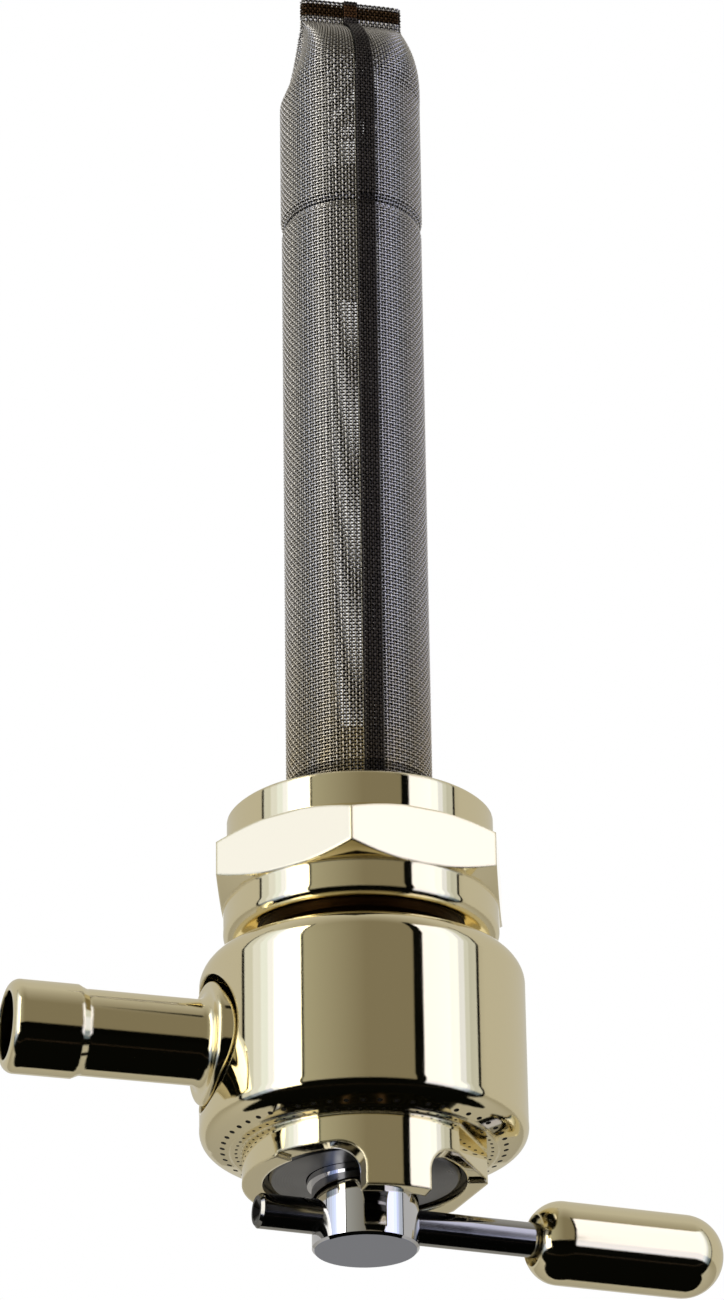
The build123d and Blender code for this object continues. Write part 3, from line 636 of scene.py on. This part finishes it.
def wire_colours(tree, shader, plain, heated):
    """Mottled wire colour that turns to a heat tint inside the welded band, with painted shade."""
    mottle = object_noise(tree, size_mm=1.2, detail=3.0)
    colours = [
        add_node(
            tree, "ShaderNodeMix", {"data_type": "RGBA"},
            {FACTOR: mottle.outputs[0], COLOUR_A: linear(dark), COLOUR_B: linear(light)},
        )
        for dark, light in (plain, heated)
    ]
    height = object_axes(tree)[2]
    warming, cooling, footward = [
        add_node(
            tree, "ShaderNodeMapRange", inputs={"Value": height, "From Min": start, "From Max": end}
        ).outputs["Result"]
        for start, end in (
            (HEAT_START, HEAT_FULL), (HEAT_END + BAND_EDGE, HEAT_END), (VARNISH_TOP, SHADED_FOOT_TOP)
        )
    ]
    band = add_node(tree, "ShaderNodeMath", {"operation": "MULTIPLY"}, {0: warming, 1: cooling})
    mixed = add_node(
        tree, "ShaderNodeMix", {"data_type": "RGBA"},
        {
            FACTOR: band.outputs["Value"],
            COLOUR_A: colours[0].outputs[COLOUR_OUT], COLOUR_B: colours[1].outputs[COLOUR_OUT],
        },
    )
    # fuel has left a yellow varnish near the foot, and just above the nut the wire is painted
    # darker as shade
    foot = add_node(
        tree, "ShaderNodeMath", {"operation": "MULTIPLY"}, {0: footward, 1: mottle.outputs[0]}
    )
    foot_shade = add_node(
        tree, "ShaderNodeMapRange",
        inputs={
            "Value": height, "From Min": SHADED_FOOT_TOP, "From Max": SHADED_FOOT_TOP + BAND_EDGE,
            "To Min": FOOT_SHADE_DEPTH,
        },
    )
    # painted shade: a wire darkens where it faces away from the outside and where it dips under a
    # neighbour
    facing = add_node(
        tree, "ShaderNodeAttribute", {"attribute_type": "GEOMETRY", "attribute_name": "facing"}
    )
    painted_wire_shade = add_node(
        tree, "ShaderNodeMapRange",
        inputs={
            "Value": facing.outputs["Fac"], "From Min": SHADE_START, "From Max": SHADE_END,
            "To Min": SHADE_DEPTH,
        },
    )
    layers = (
        (foot.outputs["Value"], linear(VARNISH)),
        (1.0, foot_shade.outputs["Result"]),
        (1.0, painted_wire_shade.outputs["Result"]),
    )
    for share, layer in layers:
        mixed = add_node(
            tree, "ShaderNodeMix", {"data_type": "RGBA", "blend_type": "MULTIPLY"},
            {FACTOR: share, COLOUR_A: mixed.outputs[COLOUR_OUT], COLOUR_B: layer},
        )
    tree.links.new(mixed.outputs[COLOUR_OUT], shader.inputs["Base Color"])


# drawn stainless wire: light grey and satin, browned by heat where the top is welded shut
steel_cloth, tree, shader = new_material(
    "stainless wire cloth", CLOTH_GREY[1], metallic=1.0, roughness=0.3
)
wire_colours(tree, shader, CLOTH_GREY, HEAT_BROWN)
# the same wire where the lap was brazed: nearly black, with a trace of purple
seam_cloth, tree, shader = new_material(
    "heat-darkened wire cloth", "#4A4444", metallic=0.8, roughness=0.42
)
wire_colours(tree, shader, SEAM_GREY, SEAM_BROWN)
print("finishes made:", len(bpy.data.materials))

# %% [markdown]
# The strainer is woven from steel wire, about 67 wires to the inch, rolled into a tube, lapped
# along one seam and pinched flat at the top. It could be sculpted, but the wires need a regular
# surface to follow. Its shape has a rule: a round tube, a rolled crease, then an outline that
# turns from a circle into a flat pinch with tucked sides. So the shape is a function of angle
# and height, and the grid made from it has one line for each wire.

# %% The strainer's shape
WIRE_PITCH = 0.379 * MM
WIRE_DIAMETER = 0.26 * MM
WIRES_AROUND = 132
TUBE_RADIUS = 8.0 * MM
SCREEN_FOOT = -7.5 * MM
CREASE_HEIGHT = 73.3 * MM
CREASE_DEPTH = 0.5 * MM
CREASE_WIDTH = 1.6 * MM
TOP_GROWTH = 0.1 * MM
SHOULDER_HEIGHT = 89.4 * MM
CRIMP_HEIGHT = 100.2 * MM
SCREEN_TOP = 103.4 * MM
CRIMP_HALF_WIDTH = (5.85 * MM, 6.25 * MM)
CRIMP_HALF_DEPTH = 0.8 * MM
SLOPE_POWER = 2.3
LEFT_LEAD = 0.6
TUCK_SHARE = 0.55
TUCK_SPREAD = 0.45
# the outline's power: 2 is a circle, and a higher one is squarer
ROUND_POWER, PINCH_POWER = 2, 5
# the wires' middle runs this far inside the tube's outer surface
CLOTH_INSET = WIRE_DIAMETER


def ease(share):
    """A share that starts and ends gently."""
    return share * share * (3 - 2 * share)


def screen_point(angle, height):
    """A point of the strainer's middle surface; angle runs round from the seam's direction."""
    along, across = math.sin(angle), -math.cos(angle)
    radius = TUBE_RADIUS - CLOTH_INSET
    if height > CREASE_HEIGHT:
        radius += TOP_GROWTH
    crease = max(0.0, 1 - abs(height - CREASE_HEIGHT) / (CREASE_WIDTH / 2))
    radius -= CREASE_DEPTH * crease
    share = min(1.0, max(0.0, (height - SHOULDER_HEIGHT) / (CRIMP_HEIGHT - SHOULDER_HEIGHT)))
    if share == 0:
        return Vector((radius * along, radius * across, height))
    lead = LEFT_LEAD if along < 0 else 1.0
    narrow = CRIMP_HALF_WIDTH[0 if along < 0 else 1] - CLOTH_INSET
    half_width = radius + (narrow - radius) * ease(share**lead)
    half_depth = radius + (CRIMP_HALF_DEPTH - CLOTH_INSET - radius) * share**SLOPE_POWER
    power = ROUND_POWER + (PINCH_POWER - ROUND_POWER) * share
    stretch = (abs(across) ** power + abs(along) ** power) ** (-1 / power)
    fold = TUCK_SHARE * half_width * share**2 * max(0.0, 1 - abs(across) / TUCK_SPREAD)
    x = half_width * along * stretch
    x -= math.copysign(min(fold, abs(x)), along)
    return Vector((x, half_depth * across * stretch, height))


print("top of the strainer:", tuple(round(v / MM, 2) for v in screen_point(0.0, SCREEN_TOP)), "mm")

# %% Rows of wire
OUTLINE_SAMPLES = 400
TINY = 1e-12


def spaced(points, count, closed):
    """Count points at equal steps along a line of points."""
    ends = points + [points[0]] if closed else points
    reach = [0.0]
    for a, b in zip(ends, ends[1:]):
        reach.append(reach[-1] + (b - a).length)
    total = reach[-1]
    steps = count if closed else count - 1
    placed, k = [], 0
    for i in range(count):
        goal = total * i / steps
        while k < len(reach) - 2 and reach[k + 1] < goal:
            k += 1
        share = (goal - reach[k]) / max(reach[k + 1] - reach[k], TINY)
        placed.append(ends[k].lerp(ends[k + 1], share))
    return placed


front_line = [
    screen_point(0.0, SCREEN_FOOT + (SCREEN_TOP - SCREEN_FOOT) * k / OUTLINE_SAMPLES)
    for k in range(OUTLINE_SAMPLES + 1)
]
front_length = sum((b - a).length for a, b in zip(front_line, front_line[1:]))
rows = round(front_length / WIRE_PITCH)
row_heights = [p.z for p in spaced(front_line, rows, closed=False)]
print("strainer wires:", WIRES_AROUND, "upright,", rows, "around")

# %% [markdown]
# In a plain weave each wire passes over one crossing wire and under the next. Forty thousand
# crossings are too many to model by hand, but on a grid they follow a chessboard: at every other
# point a wire is lifted out, and at the rest it dips in. The grid below carries that lift, and
# for each edge whether it runs upright. The cloth is woven in two lengths that meet in the
# crease, so that no piece gets too heavy.

# %% Wire cloth grid
SEAM_ANGLE = -94.0


def cloth_grid(name, columns, closed):
    """A grid mesh of wire lines, with the weave's lift and the edges' direction stored on it."""
    points = [p for column in zip(*columns) for p in column]
    width, height = len(columns), len(columns[0])
    edges, upright = [], []
    for row in range(height):
        for column in range(width):
            here = row * width + column
            if row + 1 < height:
                edges.append((here, here + width))
                upright.append(True)
            if closed or column + 1 < width:
                edges.append((here, row * width + (column + 1) % width))
                upright.append(False)
    faces = []
    for row in range(height - 1):
        for column in range(width if closed else width - 1):
            a, b = row * width + column, row * width + (column + 1) % width
            faces.append((a, b, b + width, a + width))
    mesh = bpy.data.meshes.new(name)
    mesh.from_pydata([tuple(p) for p in points], edges, faces)
    lifts = [1.0 if (i // width + i % width) % 2 else -1.0 for i in range(len(points))]
    mesh.attributes.new("lift", "FLOAT", "POINT").data.foreach_set("value", lifts)
    lookup = {tuple(sorted(e)): u for e, u in zip(edges, upright)}
    ways = [lookup[tuple(sorted(e.vertices))] for e in mesh.edges]
    mesh.attributes.new("upright", "BOOLEAN", "EDGE").data.foreach_set("value", ways)
    return mesh


seam_turn = Matrix.Rotation(math.radians(SEAM_ANGLE + 90), 3, "Z")
angles = [2 * math.pi * k / OUTLINE_SAMPLES for k in range(OUTLINE_SAMPLES)]
around = []
for height in row_heights:
    outline = [screen_point(angle, height) for angle in angles]
    around.append([seam_turn @ p for p in spaced(outline, WIRES_AROUND, closed=True)])
rows_below = sum(height < CREASE_HEIGHT for height in row_heights)
lengths = {"lower": around[:rows_below], "upper": around[rows_below:]}
tube_grids = {
    part: cloth_grid(f"{part} strainer grid", list(zip(*part_rows)), closed=True)
    for part, part_rows in lengths.items()
}
print("grid crossings:", {part: len(grid.vertices) for part, grid in tube_grids.items()})

# %% [markdown]
# What repeats is made by Geometry Nodes: a tree of steps with named inputs, run on a small mesh.
# Each tree ends alike, because copies that only point at one mesh have to become real mesh, in a
# material. So one helper starts a tree, one ends it, and one runs it and keeps the result.

# %% Trees


def new_tree(name, sizes):
    """A tree with a mesh, these named sizes and a material as inputs; its input node comes too."""
    group = bpy.data.node_groups.new(name, "GeometryNodeTree")
    sockets = {"Geometry": "Geometry", **sizes, "Material": "Material"}
    for label, kind in sockets.items():
        group.interface.new_socket(label, in_out="INPUT", socket_type=f"NodeSocket{kind}")
    group.interface.new_socket("Geometry", in_out="OUTPUT", socket_type="NodeSocketGeometry")
    return group, add_node(group, "NodeGroupInput")


def end_tree(group, start, geometry):
    """Make everything real mesh, in the material that the tree was given."""
    real = add_node(group, "GeometryNodeRealizeInstances", inputs={"Geometry": geometry})
    finish = add_node(
        group, "GeometryNodeSetMaterial",
        inputs={"Geometry": real.outputs["Geometry"], "Material": start.outputs["Material"]},
    )
    add_node(group, "NodeGroupOutput", inputs={"Geometry": finish.outputs["Geometry"]})
    return group


def run_tree(name, mesh, group, values):
    """Run a tree on a mesh and keep the result as a plain mesh object."""
    source = bpy.data.objects.new(name + " source", mesh)
    scene.collection.objects.link(source)
    modifier = source.modifiers.new("tree", "NODES")
    modifier.node_group = group
    sockets = {s.name: s.identifier for s in group.interface.items_tree if s.in_out == "INPUT"}
    for key, value in values.items():
        modifier[sockets[key]] = value
    graph = bpy.context.evaluated_depsgraph_get()
    plain = bpy.data.meshes.new_from_object(source.evaluated_get(graph), depsgraph=graph)
    bpy.data.objects.remove(source)
    plain.name = name
    piece = bpy.data.objects.new(name, plain)
    scene.collection.objects.link(piece)
    print(name, "faces:", len(plain.polygons))
    return piece


# %% [markdown]
# The weaving tree lifts every grid point out or in, keeps only the edges that run one way, and
# sweeps a small three-sided section along them. It runs once for the upright wires, and once,
# with the lift turned over, for the wires around. It also stores how far each spot faces
# outwards and how deep it dips, which the cloth's colour reads as painted shade.

# %% Weaving tree
WIRE_SIDES = 3
# how much painted shade darkens a wire where it dips under its neighbour
UNDER_SHADE = 0.7
# a Compare node's inputs for whole numbers, by their place
INTEGER_A, INTEGER_B = 2, 3


def lift_points(group, start):
    """Move the grid's points by their lift; the lift and the way outwards come back too."""
    lift = add_node(
        group, "GeometryNodeInputNamedAttribute", {"data_type": "FLOAT"}, {"Name": "lift"}
    )
    height = add_node(
        group, "ShaderNodeMath", {"operation": "MULTIPLY"},
        {0: lift.outputs["Attribute"], 1: start.outputs["Lift"]},
    ).outputs["Value"]
    normal = add_node(group, "GeometryNodeInputNormal").outputs["Normal"]
    push = add_node(
        group, "ShaderNodeVectorMath", {"operation": "SCALE"}, {0: normal, "Scale": height}
    )
    moved = add_node(
        group, "GeometryNodeSetPosition",
        inputs={"Geometry": start.outputs["Geometry"], "Offset": push.outputs["Vector"]},
    )
    return moved.outputs["Geometry"], height, normal


def sweep_wires(group, start, geometry):
    """Keep the edges that run one way and sweep the wire's section along them."""
    way = add_node(
        group, "GeometryNodeInputNamedAttribute", {"data_type": "BOOLEAN"}, {"Name": "upright"}
    )
    chosen = add_node(
        group, "FunctionNodeCompare", {"data_type": "INT", "operation": "EQUAL"},
        {INTEGER_A: way.outputs["Attribute"], INTEGER_B: start.outputs["Upright"]},
    )
    lines = add_node(
        group, "GeometryNodeMeshToCurve",
        inputs={"Mesh": geometry, "Selection": chosen.outputs["Result"]},
    )
    section = add_node(
        group, "GeometryNodeCurvePrimitiveCircle",
        inputs={"Resolution": WIRE_SIDES, "Radius": start.outputs["Wire Radius"]},
    )
    wires = add_node(
        group, "GeometryNodeCurveToMesh",
        inputs={
            "Curve": lines.outputs["Curve"], "Profile Curve": section.outputs["Curve"],
            "Fill Caps": True,
        },
    )
    smooth = add_node(
        group, "GeometryNodeSetShadeSmooth", inputs={"Geometry": wires.outputs["Mesh"]}
    )
    return smooth.outputs["Geometry"]


def weaving_tree():
    """Named inputs: wire radius, lift, which way the wires run, and their material."""
    sizes = {"Wire Radius": "Float", "Lift": "Float", "Upright": "Bool"}
    group, start = new_tree("weave wires", sizes)
    moved, height, normal = lift_points(group, start)
    marked = add_node(
        group, "GeometryNodeStoreNamedAttribute",
        {"data_type": "FLOAT_VECTOR", "domain": "POINT"},
        {"Geometry": moved, "Name": "outward", "Value": normal},
    )
    wires = sweep_wires(group, start, marked.outputs["Geometry"])
    outward = add_node(
        group, "GeometryNodeInputNamedAttribute", {"data_type": "FLOAT_VECTOR"},
        {"Name": "outward"},
    )
    skin = add_node(group, "GeometryNodeInputNormal")
    facing = add_node(
        group, "ShaderNodeVectorMath", {"operation": "DOT_PRODUCT"},
        {0: outward.outputs["Attribute"], 1: skin.outputs["Normal"]},
    )
    dip = add_node(
        group, "ShaderNodeMath", {"operation": "MULTIPLY_ADD"},
        {0: height, 1: UNDER_SHADE / WIRE_DIAMETER, 2: -UNDER_SHADE / 2},
    )
    light = add_node(
        group, "ShaderNodeMath", {"operation": "ADD"},
        {0: facing.outputs["Value"], 1: dip.outputs["Value"]},
    )
    shaded = add_node(
        group, "GeometryNodeStoreNamedAttribute", {"data_type": "FLOAT", "domain": "POINT"},
        {"Geometry": wires, "Name": "facing", "Value": light.outputs["Value"]},
    )
    return end_tree(group, start, shaded.outputs["Geometry"])


weave = weaving_tree()
print("weaving tree nodes:", len(weave.nodes))

# %% Woven tube
WEAVE_LIFT = WIRE_DIAMETER / 2


def woven(name, mesh, upright, material):
    """The wires of a grid that run one way, as one piece."""
    values = {"Wire Radius": WIRE_DIAMETER / 2, "Lift": WEAVE_LIFT if upright else -WEAVE_LIFT}
    values.update({"Upright": upright, "Material": material})
    return run_tree(name, mesh, weave, values)


tube_wires = []
for part, grid in tube_grids.items():
    tube_wires.append(woven(f"{part}_upright_wires", grid, True, steel_cloth))
    tube_wires.append(woven(f"{part}_round_wires", grid, False, steel_cloth))

# %% [markdown]
# Along the seam the cloth laps over itself. The tube's own wires could be bent outwards there,
# but the lap shows as a dark stripe with clean edges. So it is a second narrow strip of the same
# weave, a little proud of the tube, darkened by the heat that joined it.

# %% Seam lap
LAP_WIDTH = 1.9 * MM
LAP_FOOT = -6.0 * MM
LAP_PITCH = 0.27 * MM
LAP_RISE = 0.36 * MM
# the small steps along the shape from which its normal is measured
ANGLE_STEP = 0.01
HEIGHT_STEP = 0.2 * MM
lap_columns = round(LAP_WIDTH / LAP_PITCH) + 1
lap_rows = round((SCREEN_TOP - LAP_FOOT) / WIRE_PITCH)


def surface_normal(angle, height):
    """Outward normal of the strainer's shape, from small steps along it."""
    low, high = height - HEIGHT_STEP, min(height + HEIGHT_STEP, SCREEN_TOP)
    sideways = screen_point(angle + ANGLE_STEP, height) - screen_point(angle - ANGLE_STEP, height)
    upward = screen_point(angle, high) - screen_point(angle, low)
    return sideways.cross(upward).normalized()


lap = []
for column in range(lap_columns):
    offset = (column / (lap_columns - 1) - 0.5) * LAP_WIDTH
    angle = offset / TUBE_RADIUS
    line = []
    for row in range(lap_rows):
        height = LAP_FOOT + (SCREEN_TOP - LAP_FOOT) * row / (lap_rows - 1)
        proud = surface_normal(angle, height) * LAP_RISE
        line.append(seam_turn @ (screen_point(angle, height) + proud))
    lap.append(line)
lap_grid = cloth_grid("lap grid", lap, closed=False)
seam_wires = [woven("seam_upright_wires", lap_grid, True, seam_cloth)]
seam_wires.append(woven("seam_cross_wires", lap_grid, False, seam_cloth))

# %% [markdown]
# Two rings of small punched marks run round the underside of the body. Each mark could be cut
# into the brass, but it is only a few tenths of a millimetre across and reads as a dark dot. So
# one tree punches either ring: it stands a tiny dark slug on every point of a circle, square to
# the surface there.

# %% Punched marks
# sizes in millimetres; the lean is how far a mark tips outwards from straight down
MARK_RINGS = {
    "outer_marks": {
        "Ring Radius": 15.0, "Height": -37.48, "Count": 54, "Mark Radius": 0.29, "Lean": 0.277
    },
    "inner_marks": {
        "Ring Radius": 13.55, "Height": -37.85, "Count": 70, "Mark Radius": 0.17, "Lean": 0.0
    },
}
MARK_DEPTH = 0.03 * MM
MARK_SIDES = 12

# the bottom of a punched mark: brass gone black with old polish
pit, tree, shader = new_material(
    "black polish in a punched mark", "#120E08", metallic=0.3, roughness=0.6
)
vary_roughness(tree, shader, size_mm=0.4, low=0.5, high=0.75)


def marks_tree():
    """Named inputs: the ring's size and height, how many marks, their size, lean and material."""
    sizes = {name: "Float" for name in ("Ring Radius", "Height", "Mark Radius", "Lean")}
    group, start = new_tree("punched marks", {**sizes, "Count": "Int"})
    ring = add_node(
        group, "GeometryNodeMeshCircle",
        inputs={"Vertices": start.outputs["Count"], "Radius": start.outputs["Ring Radius"]},
    )
    drop = add_node(group, "ShaderNodeCombineXYZ", inputs={"Z": start.outputs["Height"]})
    placed = add_node(
        group, "GeometryNodeSetPosition",
        inputs={"Geometry": ring.outputs["Mesh"], "Offset": drop.outputs["Vector"]},
    )
    spot = add_node(group, "GeometryNodeInputPosition")
    flat = add_node(
        group, "ShaderNodeVectorMath", {"operation": "MULTIPLY"},
        {0: spot.outputs["Position"], 1: (1.0, 1.0, 0.0)},
    )
    outward = add_node(
        group, "ShaderNodeVectorMath", {"operation": "NORMALIZE"}, {0: flat.outputs["Vector"]}
    )
    leaning = add_node(
        group, "ShaderNodeVectorMath", {"operation": "SCALE"},
        {0: outward.outputs["Vector"], "Scale": start.outputs["Lean"]},
    )
    square = add_node(
        group, "ShaderNodeVectorMath", {"operation": "ADD"},
        {0: leaning.outputs["Vector"], 1: (0.0, 0.0, -1.0)},
    )
    turned = add_node(
        group, "FunctionNodeAlignRotationToVector", {"axis": "Z"},
        {"Vector": square.outputs["Vector"]},
    )
    slug = add_node(
        group, "GeometryNodeMeshCylinder",
        inputs={
            "Vertices": MARK_SIDES, "Radius": start.outputs["Mark Radius"], "Depth": MARK_DEPTH
        },
    )
    punched = add_node(
        group, "GeometryNodeInstanceOnPoints",
        inputs={
            "Points": placed.outputs["Geometry"], "Instance": slug.outputs["Mesh"],
            "Rotation": turned.outputs["Rotation"],
        },
    )
    return end_tree(group, start, punched.outputs["Instances"])


def one_point(name):
    """The least mesh a tree can start from."""
    mesh = bpy.data.meshes.new(name)
    mesh.from_pydata([(0.0, 0.0, 0.0)], [], [])
    return mesh


punch = marks_tree()
marks = []
for name, sizes in MARK_RINGS.items():
    values = {key: size * MM for key, size in sizes.items() if key not in ("Count", "Lean")}
    values.update({"Count": sizes["Count"], "Lean": sizes["Lean"], "Material": pit})
    marks.append(run_tree(name, one_point(name + " start"), punch, values))

# %% [markdown]
# The nut's bore carries the tank's thread, seen only from above. Stacked rings would look the
# same from afar, but a thread is one ridge, so one small section is swept along a helix, just
# proud of the bore.

# %% Thread in the nut
THREAD_TOP = -0.7 * MM
THREAD_BOTTOM = -6.0 * MM
THREAD_RIDGE = 0.3 * MM
NUT_BORE = 11.0 * MM
STEPS_PER_TURN = 60
RIDGE_SIDES = 4


def thread_tree():
    """Named input: the thread's material."""
    group, start = new_tree("nut thread", {})
    length = THREAD_TOP - THREAD_BOTTOM
    helix = add_node(
        group, "GeometryNodeCurveSpiral",
        inputs={
            "Resolution": STEPS_PER_TURN, "Rotations": length / THREAD_PITCH,
            "Start Radius": NUT_BORE, "End Radius": NUT_BORE, "Height": length,
        },
    )
    drop = add_node(group, "ShaderNodeCombineXYZ", inputs={"Z": THREAD_BOTTOM})
    placed = add_node(
        group, "GeometryNodeSetPosition",
        inputs={"Geometry": helix.outputs["Curve"], "Offset": drop.outputs["Vector"]},
    )
    section = add_node(
        group, "GeometryNodeCurvePrimitiveCircle",
        inputs={"Resolution": RIDGE_SIDES, "Radius": THREAD_RIDGE},
    )
    ridge = add_node(
        group, "GeometryNodeCurveToMesh",
        inputs={
            "Curve": placed.outputs["Geometry"], "Profile Curve": section.outputs["Curve"],
            "Fill Caps": True,
        },
    )
    return end_tree(group, start, ridge.outputs["Mesh"])


thread_start = one_point("thread start")
nut_thread = run_tree("nut_thread", thread_start, thread_tree(), {"Material": turned_brass})

# %% [markdown]
# Each solid now gets the finish of its real piece. They could be dressed one by one, but a list
# of names is easier to check. What it leaves out is a seal, and those are rubber.

# %% Finishes on the solids
finishes = {
    "valve_body": threaded_brass, "union_nut": threaded_brass, "hose_nipple": polished_brass,
    "lever_knob": polished_brass, "screen_ferrule": turned_brass, "screen_ring": bright_steel,
    "standpipe": turned_brass, "filter_screen": steel_cloth, "spool": chrome,
    "lever_rod": steel_rod, "retaining_plate": turned_steel, "circlip": black_steel,
    "disc_spring": spring_steel, "thrust_washer": nylon, "tank_gasket": fibre,
}
for name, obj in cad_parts.items():
    obj.data.materials.clear()
    obj.data.materials.append(finishes.get(name, rubber))
print("rubber seals:", sorted(set(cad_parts) - set(finishes)))

# %% [markdown]
# The lever and the nut turn, so every piece made here has to travel with the part that carries
# it. The woven tube takes the place of the plain solid, and stays with the body like the lap and
# the marks; the thread turns with the nut.

# %% Riding
for piece in tube_wires:
    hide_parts("filter_screen")
for piece in tube_wires + seam_wires:
    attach(piece, "tap_body")
for piece in marks:
    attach(piece, "tap_body")
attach(nut_thread, "nut")
print("pieces riding:", len(tube_wires + seam_wires + marks) + 1)
